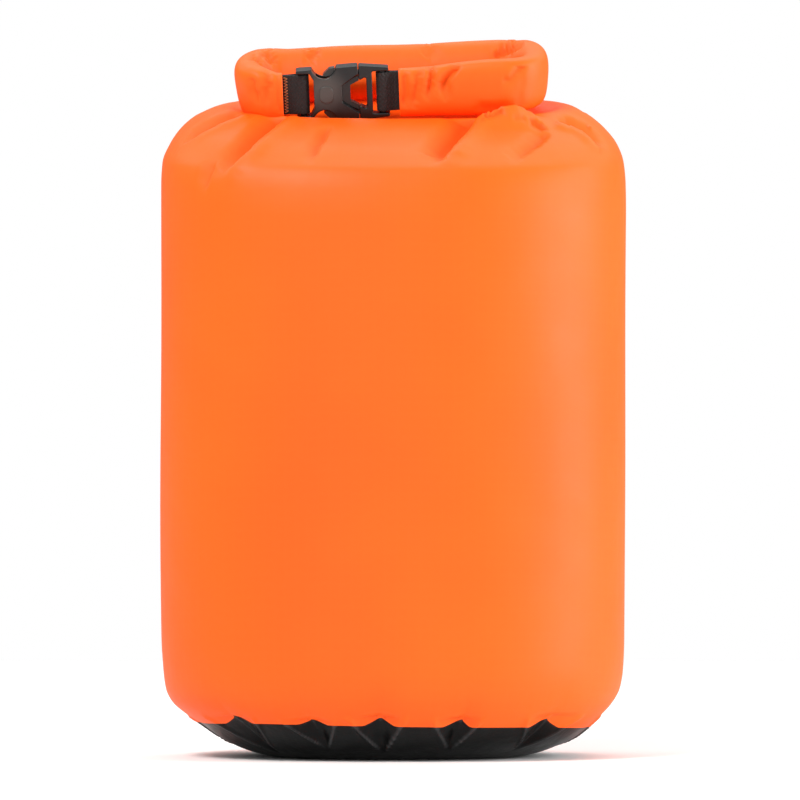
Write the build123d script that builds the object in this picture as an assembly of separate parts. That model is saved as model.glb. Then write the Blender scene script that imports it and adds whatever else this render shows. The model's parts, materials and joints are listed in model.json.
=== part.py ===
"""Roll-top dry bag of about 12 litres, standing filled on its base with the mouth rolled and buckled.

The coated cloth is one welded tube on an oval base. Its mouth is stiffened, pressed flat and rolled down,
and both ends of the roll are bent forward until a side-release buckle joins them in a carry loop. Cloth is
drawn thicker than it is, as plain closed solids. Millimetres, +Z up, front towards -Y, origin on the floor
under the middle of the base.
"""

from build123d import *
import math
import os

# Filled bag
bag_width = 226.0
bag_depth = 160.0
bag_height = 350.0  # floor to the top of the roll
cloth = 1.2  # drawn thickness of the coated cloth
foot_width = 124.0  # part of the base that lies flat on the floor
foot_depth = 84.0
base_rise = 17.6  # height of the weld between base and side wall
corner_rise = 27.0  # from that weld to where the sides stand upright
shoulder_drop = 62.0  # from the neck to where the sides stand upright
upright_blend = 22.0  # length at each end of the upright sides that keeps them straight
tape_thickness = 0.4
tape_width = 12.0

# Rolled mouth. Seen from above it is a loop, open where the buckle joins its ends.
roll_height = 27.0
roll_thickness = 13.0
roll_left = 55.0  # straight length behind the loop, from the middle to each bend
roll_right = 53.0
bend_radius = 16.0  # of the roll's middle line
right_arm_length = 50.5
loop_back_y = 14.0  # middle of the roll behind the loop
loop_pitch = 15.0  # degrees that the loop tips forward
loop_tilt = 2.2  # degrees that its right end stands higher
seat_gap = 0.4  # between the roll and the neck it rests on
buckle_seat_gap = 0.1  # between the buckle and the neck under it
neck_overhang = 6.0  # how far the neck reaches past the loop on every side
mouth_half_length = 44.0  # slit that the mouth is drawn as, under the roll
mouth_wall = 2.0  # how much narrower than the roll it is, on each face

# Stiffener strips inside the roll
strip_height = 20.0
strip_thickness = 0.8
strip_gap = 0.2
strip_play = 0.3

# Webbing sewn into both ends of the roll
webbing_width = 20.0
webbing_thickness = 1.2
webbing_tail = 5.0  # length inside the roll
webbing_show = 3.5  # doubled length outside it, before the two layers part round the bar
webbing_play = 0.45
webbing_bar_play = 0.1
stitch_size = 0.45
stitch_proud = 0.25
stitch_pitch = 1.5
stitch_rows = 12

# Side-release buckle for that webbing
buckle_start = 7.0  # from the left end of the roll to the socket's ears
socket_length = 30.3
socket_thickness = 8.0
socket_flare = 1.5  # growth in half height from the ears to the socket's mouth
ear_play = 0.6  # between webbing and ears
ear_wall = 1.7
bar_inset = 3.4  # from the ears' ends to the middle of the webbing bar
bar_radius = 1.6
bar_root = 1.0  # length of the bar inside each ear
slot_play = 0.35  # between the webbing round the bar and the slot's far side
socket_slot_taper = 1.9  # the slot narrows over this length
socket_slot_taper_depth = 3.4
thumb_length = 6.6  # half axes of the oval cut out for each thumb
thumb_depth = 8.6
thumb_u = 13.6
thumb_outside = 2.7  # from the socket's side out to the middle of that oval
catch_wall = 1.9  # side wall that the prongs catch behind
cavity_end_wall = 1.2
cavity_thickness = 4.6
cavity_play = 0.3  # between the cavity and what slides in it, on each face
notch_start = 22.4
notch_inner_half = 4.0
notch_show = 1.6  # how far the notch's mouth clears the nose
pad_length = 6.8
pad_height = 8.4
pad_u = 14.6
pad_rise = 0.6
mouth_gap = 0.3
plug_length = 14.7
plug_thickness = 6.6
plug_narrowing = 1.5  # loss of half height from the plug's shoulder to its ears
plug_slot_taper = 1.55
nose_overlap = 0.6  # how far the nose reaches under the socket's face, past the notch
nose_wall = 4.6  # between the nose's tip and the opening behind it
nose_side_wall = 0.5
guide_half = 2.2
guide_clear = 3.0  # from the guide's end to the cavity's end wall
crossbar = 2.8
prong_hinge_inset = 1.3  # from the plug's shoulder
prong_clear = 3.4  # from a prong's tip to the cavity's end wall
prong_thickness = 2.0
prong_neck = 1.6
prong_neck_play = 0.25
prong_barb = 1.4
prong_nose_gap = 1.3
knuckle_radius = 1.2
knuckle_play = 0.06
catch_play = 0.25
corner_round = 0.8
edge_round = 0.6

pitch = math.radians(loop_pitch)
tilt = math.radians(loop_tilt)
core_thickness = 2 * strip_thickness + strip_gap + 2 * strip_play
core_height = strip_height + 2 * strip_play
roll_rise = math.hypot(roll_height / 2 * math.cos(pitch), roll_thickness / 2 * math.sin(pitch))
loop_back_z = bag_height - roll_rise - (roll_right + bend_radius / 2) * math.sin(tilt)
front_y = -2 * bend_radius
buckle_u = -roll_left + buckle_start
plug_u = socket_length + mouth_gap
plug_end_u = plug_u + plug_length
bar_slot_half = webbing_width / 2 + ear_play
bar_slot_u = bar_inset + bar_radius + webbing_bar_play + webbing_thickness + slot_play
cavity_start = bar_slot_u + socket_slot_taper + cavity_end_wall
socket_left_half = bar_slot_half + ear_wall
socket_right_half = socket_left_half + socket_flare
cavity_half = socket_right_half - catch_wall
thumb_v = socket_right_half + thumb_outside
catch_u = thumb_u + thumb_length * math.sqrt(1 - ((thumb_v - cavity_half) / thumb_depth) ** 2)
prong_hinge_u = plug_u + prong_hinge_inset
prong_hinge_v = cavity_half - prong_thickness
nose_u = notch_start - nose_overlap
nose_outer_half = prong_hinge_v - prong_nose_gap
# Where the buckle reaches lower than the roll, the neck tips further forward from under the roll behind.
buckle_reach = socket_right_half + buckle_seat_gap - roll_height / 2 - seat_gap
neck_tip = math.atan2(max(buckle_reach, 0.0), -front_y - socket_thickness / 2)

# The loop's own frame: X along the roll behind, Y to the back, Z up through the roll's width.
loop = Plane(
    origin=(0, loop_back_y, loop_back_z),
    x_dir=(math.cos(tilt), 0, math.sin(tilt)),
    z_dir=(-math.sin(tilt) * math.cos(pitch), -math.sin(pitch), math.cos(tilt) * math.cos(pitch)),
)
# The buckle's frame inside the loop's: X along the webbing, Y up, Z out of the front.
front = Plane(origin=(buckle_u, front_y, 0), x_dir=(1, 0, 0), z_dir=(0, -1, 0))


def placed(shape):
    """Shape drawn in the loop's frame, moved to its place on the bag."""
    return loop.location * shape


# ---------------------------------------------------------------- bag

def bag_stations():
    """(height, half width, half depth, middle in Y, pitch) of the outer skin's sections, floor to neck."""
    half_width = bag_width / 2
    half_depth = bag_depth / 2
    neck_half_width = roll_left + bend_radius + roll_thickness / 2 + neck_overhang
    neck_half_depth = bend_radius + roll_thickness / 2 + neck_overhang
    neck_drop = roll_height / 2 + seat_gap + bend_radius * math.tan(neck_tip)
    neck = loop.from_local_coords(Vector(0, -bend_radius, -neck_drop))
    neck_pitch = loop_pitch + math.degrees(neck_tip)
    top = neck.Z

    def between(z, share, pitch_share):
        """Section part of the way in from upright side to neck."""
        a = half_width + (neck_half_width - half_width) * share
        b = half_depth + (neck_half_depth - half_depth) * share**0.75
        return (z, a, b, neck.Y * share, neck_pitch * pitch_share)

    corner = [
        (base_rise * 0.2, 0.22, 0.24),
        (base_rise * 0.56, 0.5, 0.53),
        (base_rise, 0.7, 0.72),
        (base_rise + corner_rise * 0.4, 0.92, 0.92),
        (base_rise + corner_rise, 1.0, 1.0),
    ]
    lower = [(0.0, foot_width / 2, foot_depth / 2, 0.0, 0.0)]
    for z, share_a, share_b in corner:
        a = foot_width / 2 + (half_width - foot_width / 2) * share_a
        b = foot_depth / 2 + (half_depth - foot_depth / 2) * share_b
        lower.append((z, a, b, 0.0, 0.0))
    upright_low = base_rise + corner_rise
    upright_high = top - shoulder_drop
    upper = [
        (upright_low + upright_blend, half_width, half_depth, 0.0, 0.0),
        ((upright_low + upright_high) / 2, half_width, half_depth, 0.0, 0.0),
        (upright_high - upright_blend, half_width, half_depth, 0.0, 0.0),
        between(upright_high, 0.0, 0.0),
        between(top - shoulder_drop * 0.5, 0.06, 0.2),
        between(top - shoulder_drop * 0.26, 0.24, 0.5),
        between(top - shoulder_drop * 0.11, 0.5, 0.8),
        (top, neck_half_width, neck_half_depth, neck.Y, neck_pitch),
    ]
    return lower + upper


def bag_form(inset):
    """Solid bounded by the skin moved in by inset, from the floor to the neck."""
    stations = bag_stations()
    last = len(stations) - 1
    sections = []
    for n, (z, a, b, middle_y, lean) in enumerate(stations):
        below, above = stations[max(n - 1, 0)], stations[min(n + 1, last)]
        slope_a = (above[1] - below[1]) / (above[0] - below[0])
        slope_b = (above[2] - below[2]) / (above[0] - below[0])
        shift = inset if n == 0 else -inset if n == last else 0.0
        a += slope_a * shift - inset * math.hypot(1, slope_a)
        b += slope_b * shift - inset * math.hypot(1, slope_b)
        side = tilt if n == last else 0.0
        plane = Plane(
            origin=(0, middle_y, z + shift),
            x_dir=(math.cos(side), 0, math.sin(side)),
            z_dir=(-math.sin(side), -math.sin(math.radians(lean)), math.cos(math.radians(lean))),
        )
        sections.append(plane * Ellipse(a, b))
    return loft(sections)


def slab(z_low, z_high):
    """Box wider than the bag, between two heights."""
    return Pos(0, 0, (z_low + z_high) / 2) * Box(2 * bag_width, 2 * bag_depth, z_high - z_low)


def make_bag():
    outer = bag_form(0)
    inner = bag_form(cloth)
    skin = outer - inner
    tape_shell = inner - bag_form(cloth + tape_thickness)
    mouth_z = -roll_height / 2 - seat_gap
    mouth = Pos(0, 0, mouth_z) * Box(2 * mouth_half_length, roll_thickness - 2 * mouth_wall, 8 * cloth)
    tape_top = base_rise + tape_width / 2
    seam_top = bag_height - roll_height - shoulder_drop
    seam_cut = Pos(0, bag_depth / 2, 0) * Box(tape_width, bag_depth, 2 * seam_top)
    return {
        "side_wall": (skin & slab(base_rise, bag_height)) - placed(mouth),
        "base_panel": skin & slab(-1, base_rise),
        "base_seam_tape": tape_shell & slab(base_rise - tape_width / 2, tape_top),
        "back_seam_tape": (tape_shell & slab(tape_top, seam_top)) & seam_cut,
    }


# ---------------------------------------------------------------- rolled mouth

def straight(section, x_start, x_end, y):
    """Section swept along X in the loop's frame. Its own X goes to the back, its Y up."""
    plane = Plane(origin=(x_start, y, 0), x_dir=(0, 1, 0), z_dir=(1, 0, 0))
    return extrude(plane * section, x_end - x_start)


def bend(section, x, turn=180.0):
    """Section swept round the bend at x, from the back towards the front."""
    side = 1 if x > 0 else -1
    plane = Plane(origin=(x, 0, 0), x_dir=(0, 1, 0), z_dir=(1, 0, 0))
    axis = Axis((x, -bend_radius, 0), (0, 0, -side))
    return revolve(plane * section, axis, turn)


def tail_pocket(x_end, into):
    """Space in an end of the roll for the webbing's tail. into is 1 where the roll lies towards +X."""
    length = webbing_tail + webbing_play
    centre = Pos(x_end + into * length / 2, front_y, 0)
    height = webbing_width + 2 * webbing_play
    return centre * Box(length, 2 * (webbing_thickness + webbing_play), height)


def make_roll():
    wall = Ellipse(roll_thickness / 2, roll_height / 2) - Rectangle(core_thickness, core_height)
    arm_end = roll_right - right_arm_length
    left = bend(wall, -roll_left) - tail_pocket(-roll_left, -1)
    right = straight(wall, arm_end, roll_right, front_y) - tail_pocket(arm_end, 1)
    return {
        "rolled_mouth_back": straight(wall, -roll_left, roll_right, 0),
        "rolled_mouth_left": left,
        "rolled_mouth_bend": bend(wall, roll_right),
        "rolled_mouth_right": right,
    }


def make_strip(name, offset):
    """One stiffener strip, in the three lengths that move apart. offset is away from the loop's middle."""
    outward = Pos(offset, 0) * Rectangle(strip_thickness, strip_height)
    inward = Pos(-offset, 0) * Rectangle(strip_thickness, strip_height)
    clear = webbing_tail + 2 * webbing_play
    left_turn = 180 - math.degrees(clear / (bend_radius - roll_thickness / 2))
    arm_end = roll_right - right_arm_length
    return {
        f"{name}_strip": straight(outward, -roll_left, roll_right, 0) + bend(outward, -roll_left, left_turn),
        f"{name}_strip_bend": bend(outward, roll_right),
        f"{name}_strip_end": straight(inward, arm_end + clear, roll_right, front_y),
    }


# ---------------------------------------------------------------- webbing

def webbing_loop(roll_u, bar_u):
    """Webbing that comes out of the roll doubled and goes round a buckle's bar, in the buckle's frame."""
    into = 1 if roll_u > bar_u else -1
    inner = bar_radius + webbing_bar_play
    outer = inner + webbing_thickness
    tail_end = roll_u + into * webbing_tail
    flat_end = roll_u - into * webbing_show
    doubled = Pos((tail_end + flat_end) / 2, 0) * Rectangle(abs(tail_end - flat_end), 2 * webbing_thickness)
    spread = wedge(flat_end, webbing_thickness, bar_u, outer)
    gap = wedge(flat_end, webbing_thickness / 8, bar_u, inner)
    profile = doubled + spread + Pos(bar_u, 0) * Circle(outer) - gap - Pos(bar_u, 0) * Circle(inner)
    # drawn in X and depth, then extruded over the webbing's width
    plane = Plane(origin=(buckle_u, front_y, -webbing_width / 2), x_dir=(1, 0, 0), z_dir=(0, 0, 1))
    return extrude(plane * profile, webbing_width)


def bar_tack(middle_u):
    """Zigzag of thread across the webbing's front face."""
    half = stitch_rows * stitch_pitch / 2
    points = [
        (middle_u + (stitch_pitch if n % 2 else -stitch_pitch) * 0.55, -half + n * stitch_pitch)
        for n in range(stitch_rows + 1)
    ]
    thread = trace(Polyline(*points), stitch_size)
    return extrude(front.offset(webbing_thickness) * thread, stitch_proud)


def make_webbing():
    left_roll_u = -buckle_start
    right_roll_u = roll_right - right_arm_length - buckle_u
    left_bar_u = bar_inset
    right_bar_u = plug_end_u - bar_inset
    return {
        "left_webbing": webbing_loop(left_roll_u, left_bar_u),
        "right_webbing": webbing_loop(right_roll_u, right_bar_u),
        "left_bar_tack": bar_tack(left_roll_u + webbing_show / 2),
        "right_bar_tack": bar_tack(right_roll_u + webbing_tail / 2),
    }


# ---------------------------------------------------------------- buckle

def plate(sketch, low, high):
    """Sketch in the buckle's frame, extruded between two depths. Positive is to the front."""
    return extrude(front.offset(low) * sketch, high - low)


def centred(sketch, thickness):
    return plate(sketch, -thickness / 2, thickness / 2)


def moulded(sketch, thickness):
    """Plate with its corners and both its rims rounded."""
    body = centred(sketch, thickness)
    body = fillet(body.edges().filter_by(Axis.Y), corner_round)
    rims = body.faces().filter_by(lambda face: abs(face.normal_at().Y) > 0.99).edges()
    return fillet(rims, edge_round)


def span(u_low, u_high, v_half):
    """Rectangle between two values of u, symmetrical in v."""
    return Pos((u_low + u_high) / 2, 0) * Rectangle(u_high - u_low, 2 * v_half)


def wedge(u_start, half_start, u_end, half_end):
    """Symmetrical trapezoid, with its half height at each end."""
    if u_start > u_end:
        u_start, half_start, u_end, half_end = u_end, half_end, u_start, half_start
    corners = [(u_start, -half_start), (u_end, -half_end), (u_end, half_end), (u_start, half_start)]
    return Polygon(*corners, align=None)


def webbing_bar(u):
    """Round bar between a half's ears."""
    half_length = bar_slot_half + bar_root
    plane = Plane(origin=(buckle_u + u, front_y, -half_length), x_dir=(1, 0, 0), z_dir=(0, 0, 1))
    return extrude(plane * Circle(bar_radius), 2 * half_length)


def make_socket():
    outline = wedge(0, socket_left_half, socket_length, socket_right_half)
    for v in (thumb_v, -thumb_v):
        outline -= Pos(thumb_u, v) * Ellipse(thumb_length, thumb_depth)
    outline -= wedge(notch_start, notch_inner_half, socket_length + 1, nose_outer_half + notch_show)
    outline -= span(-1, bar_slot_u, bar_slot_half)
    slot_end_half = bar_slot_half - socket_slot_taper_depth
    outline -= wedge(bar_slot_u, bar_slot_half, bar_slot_u + socket_slot_taper, slot_end_half)
    body = moulded(outline, socket_thickness)
    cavity = span(cavity_start, socket_length + 1, cavity_half)
    body -= centred(cavity, cavity_thickness)
    pad = plate(
        Pos(pad_u, 0) * RectangleRounded(pad_length, pad_height, pad_length * 0.42),
        socket_thickness / 2 - 0.5,
        socket_thickness / 2 + pad_rise,
    )
    pad_rim = pad.faces().sort_by(Axis.Y)[0].edges()
    body += fillet(pad_rim, pad_rise * 0.8)
    return body + webbing_bar(bar_inset)


def make_plug():
    frame = wedge(plug_u, socket_right_half, plug_end_u, socket_right_half - plug_narrowing)
    crossbar_u = plug_end_u - bar_slot_u - plug_slot_taper - crossbar
    frame_half = nose_outer_half - nose_side_wall
    opening = wedge(nose_u + nose_wall, notch_inner_half, crossbar_u, frame_half)
    frame -= opening
    frame -= span(crossbar_u + crossbar, plug_end_u + 1, bar_slot_half)
    body = moulded(frame, plug_thickness)
    nose = wedge(nose_u, notch_inner_half + nose_overlap, plug_u, nose_outer_half) - opening
    nose += span(cavity_start + guide_clear, nose_u + 0.5, guide_half)
    inner_thickness = cavity_thickness - 2 * cavity_play
    body += centred(nose, inner_thickness)
    for v in (prong_hinge_v, -prong_hinge_v):
        recess = Pos(prong_hinge_u, v) * Circle(knuckle_radius + knuckle_play)
        recess += Pos(plug_u, v) * Rectangle(2 * prong_hinge_inset, prong_neck + 2 * prong_neck_play)
        body -= centred(recess, inner_thickness + 2 * knuckle_play)
    return body + webbing_bar(plug_end_u - bar_inset)


def prong_outline():
    """Upper prong: knuckle, arm, catch and thumb pad, tip to the left."""
    tip_u = cavity_start + prong_clear
    barb_u = catch_u - catch_play
    top = cavity_half - cavity_play
    bottom = top - prong_thickness
    arm_start = plug_u - 2 * mouth_gap
    arm = Polygon(
        (arm_start, bottom),
        (arm_start, top),
        (barb_u, top),
        (barb_u, top + prong_barb),
        (barb_u - 2.6, top + prong_barb - 0.4),
        (tip_u + 0.6, top - 1.4),
        (tip_u, bottom - 0.2),
        (tip_u + 1.2, bottom - 0.9),
        (barb_u, bottom - 0.4),
        align=None,
    )
    neck_length = prong_hinge_u - arm_start
    neck = Pos(prong_hinge_u - neck_length / 2, prong_hinge_v) * Rectangle(neck_length + 0.4, prong_neck)
    return arm + neck + Pos(prong_hinge_u, prong_hinge_v) * Circle(knuckle_radius)


def make_buckle():
    thickness = cavity_thickness - 2 * cavity_play
    upper = centred(prong_outline(), thickness)
    return {
        "buckle_socket": make_socket(),
        "buckle_plug": make_plug(),
        "upper_prong": upper,
        "lower_prong": mirror(upper, Plane.XY),
    }


def main():
    os.makedirs("parts", exist_ok=True)
    loop_parts = make_roll() | make_webbing() | make_buckle()
    strip_offset = (strip_thickness + strip_gap) / 2
    loop_parts |= make_strip("outer", strip_offset)
    loop_parts |= make_strip("inner", -strip_offset)
    parts = make_bag()
    parts |= {name: placed(shape) for name, shape in loop_parts.items()}
    for name, shape in parts.items():
        export_step(shape, f"parts/{name}.step")


main()
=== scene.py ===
import json
import math

import bpy
import numpy as np
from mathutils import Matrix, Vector


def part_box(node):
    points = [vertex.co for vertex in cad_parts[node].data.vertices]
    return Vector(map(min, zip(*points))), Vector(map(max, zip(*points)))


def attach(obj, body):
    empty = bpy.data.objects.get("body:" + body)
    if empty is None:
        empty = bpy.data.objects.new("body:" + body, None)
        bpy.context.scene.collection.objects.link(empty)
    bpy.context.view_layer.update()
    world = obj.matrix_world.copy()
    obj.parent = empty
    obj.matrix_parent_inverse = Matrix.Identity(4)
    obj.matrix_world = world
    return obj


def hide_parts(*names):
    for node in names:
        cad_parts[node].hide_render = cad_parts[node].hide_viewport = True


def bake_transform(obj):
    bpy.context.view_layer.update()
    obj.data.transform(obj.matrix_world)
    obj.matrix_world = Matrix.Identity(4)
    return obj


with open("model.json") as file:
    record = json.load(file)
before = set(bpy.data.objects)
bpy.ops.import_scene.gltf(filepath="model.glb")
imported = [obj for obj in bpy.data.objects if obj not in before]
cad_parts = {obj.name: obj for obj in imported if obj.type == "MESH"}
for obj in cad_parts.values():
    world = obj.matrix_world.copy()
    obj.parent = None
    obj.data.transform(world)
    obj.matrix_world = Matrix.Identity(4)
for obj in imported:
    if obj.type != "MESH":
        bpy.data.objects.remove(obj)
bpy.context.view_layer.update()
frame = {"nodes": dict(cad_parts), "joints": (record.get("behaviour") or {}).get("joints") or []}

# Roll-top dry bag, filled, standing on its base with the mouth rolled down and buckled.
# Shapes are worked out in millimetres and put into the meshes in metres.

mm = 0.001
joints = {joint["name"]: joint for joint in frame["joints"]}
print("frame loaded, nodes:", len(frame["nodes"]))


# Camera: far off and almost level
camera = {
    "target": (2.9, 0.0, 174.6),
    "distance": 6000.0,
    "elevation": 1.0,
    "lens": 551.0,
}

cameraData = bpy.data.cameras.new("viewCamera")
cameraData.lens = camera["lens"]
cameraObject = bpy.data.objects.new("viewCamera", cameraData)
bpy.context.scene.collection.objects.link(cameraObject)
lift = math.radians(camera["elevation"])
aim = Vector(camera["target"]) * mm
stepBack = Vector((0, -math.cos(lift), math.sin(lift)))
cameraObject.location = aim + stepBack * camera["distance"] * mm
cameraObject.rotation_euler = (-stepBack).to_track_quat("-Z", "Y").to_euler()
bpy.context.scene.camera = cameraObject


# Small helpers
def boxOf(node):  # a CAD node's corners in mm
    low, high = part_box(node)
    return np.array(low) / mm, np.array(high) / mm


def smoothStep(value, low=0.0, high=1.0):
    share = np.clip((value - low) / (high - low), 0, 1)
    return share * share * (3 - 2 * share)


def flowThrough(at, knots, values):  # curve through the knots that never overshoots them
    knots, values, at = (np.asarray(x, float) for x in (knots, values, at))
    gaps = np.diff(knots)
    rates = np.diff(values) / gaps
    slopes = np.zeros(len(knots))
    slopes[0], slopes[-1] = rates[0], rates[-1]
    same = rates[1:] * rates[:-1] > 0
    before, after = 2 * gaps[1:] + gaps[:-1], gaps[1:] + 2 * gaps[:-1]
    safe = np.where(same, rates[:-1], 1), np.where(same, rates[1:], 1)
    slopes[1:-1] = np.where(same, (before + after) / (before / safe[0] + after / safe[1]), 0)
    n = np.clip(np.searchsorted(knots, at) - 1, 0, len(gaps) - 1)
    t = (at - knots[n]) / gaps[n]
    start, end, gap = values[n], values[n + 1], gaps[n]
    rise = (1 + 2 * t) * (1 - t) ** 2 * start + t * t * (3 - 2 * t) * end
    return rise + gap * (t * (1 - t) ** 2 * slopes[n] - t * t * (1 - t) * slopes[n + 1])


def unit(vectors):
    return vectors / np.maximum(np.linalg.norm(vectors, axis=-1, keepdims=True), 1e-9)


def gridNormals(points, wrap):  # smooth normals of a grid of points, rows by columns
    down = np.gradient(points, axis=0)
    if wrap:
        across = (np.roll(points, -1, 1) - np.roll(points, 1, 1)) / 2
    else:
        across = np.gradient(points, axis=1)
    return unit(np.cross(across, down))


def lengthsAlong(points, axis):  # running length in mm along rows or columns
    steps = np.linalg.norm(np.diff(points, axis=axis), axis=-1)
    start = np.zeros_like(steps.take([0], axis))
    return np.concatenate([start, np.cumsum(steps, axis)], axis)


def gridObject(name, points, material, wrap=True, caps=(), uv=None, crease=None):
    rows, columns = points.shape[:2]
    vertices = points.reshape(-1, 3)
    last = columns if wrap else columns - 1
    i, j = np.meshgrid(np.arange(rows - 1), np.arange(last), indexing="ij")
    i, j = i.ravel(), j.ravel()
    k = (j + 1) % columns
    faces = np.stack([i * columns + j, i * columns + k, (i + 1) * columns + k, (i + 1) * columns + j], 1)
    faceUv = None
    if uv is not None:
        faceUv = np.stack([uv[i, j], uv[i, j + 1], uv[i + 1, j + 1], uv[i + 1, j]], 1).reshape(-1, 2)
    faceList = faces.tolist()
    extra = []
    for row in caps:  # closes an end with a fan to a middle point
        extra.append(points[row].mean(0))
        middle = len(vertices) + len(extra) - 1
        first = (row % rows) * columns
        for c in range(columns):
            pair = [first + c, first + (c + 1) % columns]
            faceList.append((pair[::-1] if row == 0 else pair) + [middle])
    if extra:
        vertices = np.vstack([vertices, extra])
    mesh = bpy.data.meshes.new(name)
    mesh.from_pydata((vertices * mm).tolist(), [], faceList)
    if faceUv is not None:
        layer = mesh.uv_layers.new(name="clothUv")
        filled = np.zeros((len(mesh.loops), 2), np.float32)
        filled[:len(faceUv)] = faceUv * mm
        layer.data.foreach_set("uv", filled.ravel())
    if crease is not None:  # 0 to 1, how deep in a fold each point lies; the nylon darkens with it as painted shade
        depth = np.zeros(len(vertices), np.float32)
        depth[:crease.size] = crease.ravel()
        mesh.attributes.new("creaseDepth", "FLOAT", "POINT").data.foreach_set("value", depth)
    mesh.polygons.foreach_set("use_smooth", [True] * len(mesh.polygons))
    mesh.materials.append(material)
    mesh.update()
    made = bpy.data.objects.new(name, mesh)
    bpy.context.scene.collection.objects.link(made)
    return made


# What a fold's row says. Its sharp side is on the left of its route seen from outside, or on the right
# where sharpSide is -1, and lean is how much narrower that side is. A lip stands up beside it.
foldParts = ("route", "width", "lean", "depth", "crease", "fade", "lip", "lipAt", "lipWidth", "sharpSide")
plainFold = {"lip": 0, "lipAt": 0, "lipWidth": 0, "sharpSide": 1}
foldMarks = 26  # points that a route is read at


# How far folds push a surface along its normals. Their routes are drawn in the two axes of view.
def foldCloth(points, normals, folds, where, view=(0, 2)):
    moved = np.zeros(points.shape[:-1])
    flat = points[where]
    along = normals[where]
    total = np.zeros(len(flat))
    for values in folds:
        fold = plainFold | dict(zip(foldParts, values))
        route = np.array(fold["route"], float)
        marks = np.linspace(0, len(route) - 1, foldMarks)
        drawn = np.stack([np.interp(marks, range(len(route)), route[:, n]) for n in (0, 1)], 1)
        gap = np.linalg.norm(flat[None, :, list(view)] - drawn[:, None, :], axis=-1)
        line = flat[gap.argmin(1)]
        reach = fold["width"] * 1.3 + fold["lipAt"] + fold["lipWidth"] + 3
        low, high = line.min(0) - reach, line.max(0) + reach
        near = np.flatnonzero(((flat > low) & (flat < high)).all(1))
        if not len(near):
            continue
        here, facing = flat[near], along[near]
        best = np.full(len(near), 1e9)
        side = np.zeros(len(near))
        share = np.zeros(len(near))
        for n in range(len(line) - 1):
            step = line[n + 1] - line[n]
            size = step @ step
            if size < 1e-6:
                continue
            t = np.clip(((here - line[n]) @ step) / size, 0, 1)
            off = here - line[n] - t[:, None] * step
            dist = np.linalg.norm(off, axis=1)
            closer = dist < best
            best = np.where(closer, dist, best)
            hand = np.sign(np.einsum("ij,ij->i", np.cross(step[None], off), facing))
            side = np.where(closer, hand, side)
            share = np.where(closer, (n + t) / (len(line) - 1), share)
        signed = best * np.where(side == 0, 1, side)
        narrow = fold["width"] * fold["lean"]
        signed *= fold["sharpSide"]
        fall = np.clip(1 - np.where(signed > 0, signed / narrow, -signed / fold["width"]), 0, 1)
        soft = fall * fall * (3 - 2 * fall)
        sharp = fall ** 1.5
        crease, fade = fold["crease"], fold["fade"]
        ends = smoothStep(share, 0, max(fade[0], 1e-3)) * (1 - smoothStep(share, 1 - max(fade[1], 1e-3), 1))
        total[near] -= fold["depth"] * ends * (crease * sharp + (1 - crease) * soft)
        if fold["lip"]:
            bump = np.exp(-((signed - fold["lipAt"]) / fold["lipWidth"]) ** 2)
            total[near] += fold["lip"] * ends * bump
    moved[where] = total
    return moved


print("camera and helpers ready")


# Materials. Colours are sRGB hex, sizes real millimetres.
def toLinear(hexColour):
    parts = [int(hexColour[n:n + 2], 16) / 255 for n in (1, 3, 5)]
    return [p / 12.92 if p <= 0.04045 else ((p + 0.055) / 1.055) ** 2.4 for p in parts] + [1.0]


def startMaterial(name, surface):
    material = bpy.data.materials.new(name)
    material.use_nodes = True
    tree = material.node_tree
    shader = tree.nodes["Principled BSDF"]
    for socket, value in surface.items():
        shader.inputs[socket].default_value = value
    return material, tree, shader


def addNode(tree, kind, inputs, **settings):  # one node, its settings, and its values, hex colours or links
    node = tree.nodes.new("ShaderNode" + kind)
    for name, value in settings.items():
        setattr(node, name, value)
    for name, value in inputs.items():
        if isinstance(value, bpy.types.NodeSocket):
            tree.links.new(value, node.inputs[name])
        else:
            node.inputs[name].default_value = toLinear(value) if isinstance(value, str) else value
    return node


def plugIn(tree, shader, links):  # joins outputs to the shader's sockets
    for name, output in links.items():
        tree.links.new(output, shader.inputs[name])


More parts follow.
